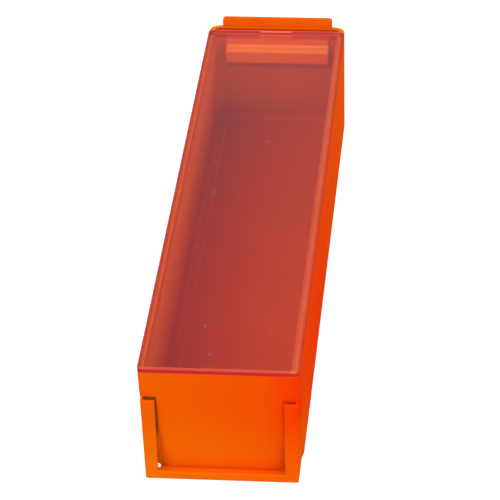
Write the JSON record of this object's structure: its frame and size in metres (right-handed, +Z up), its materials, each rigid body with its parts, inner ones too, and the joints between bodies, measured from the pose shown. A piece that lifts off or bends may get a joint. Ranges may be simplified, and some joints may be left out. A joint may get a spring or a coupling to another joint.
{
  "type": "storage bin with lid",
  "caption": "Long narrow open-top storage bin with a leaning front, an upright label frame, a lip at the back and a clear drop-on lid.",
  "frame": {"origin": "middle of the footprint on the underside", "axes": "+X to the right seen from the front, +Y from the label frame towards the back wall, +Z up"},
  "size_m": [0.09, 0.4, 0.079],
  "materials": {
    "bin_plastic": "semi-gloss moulded",
    "lid_plastic": "clear plastic"
  },
  "bodies": {
    "bin_body": {"bin": "bin_plastic"},
    "lid_body": {"lid": "lid_plastic"}
  },
  "joints": [
    {"name": "lid_lift", "type": "slide", "parent": "bin_body", "child": "lid_body", "axis": [0, 0, 1], "range_m": [0, 0.06]}
  ]
}
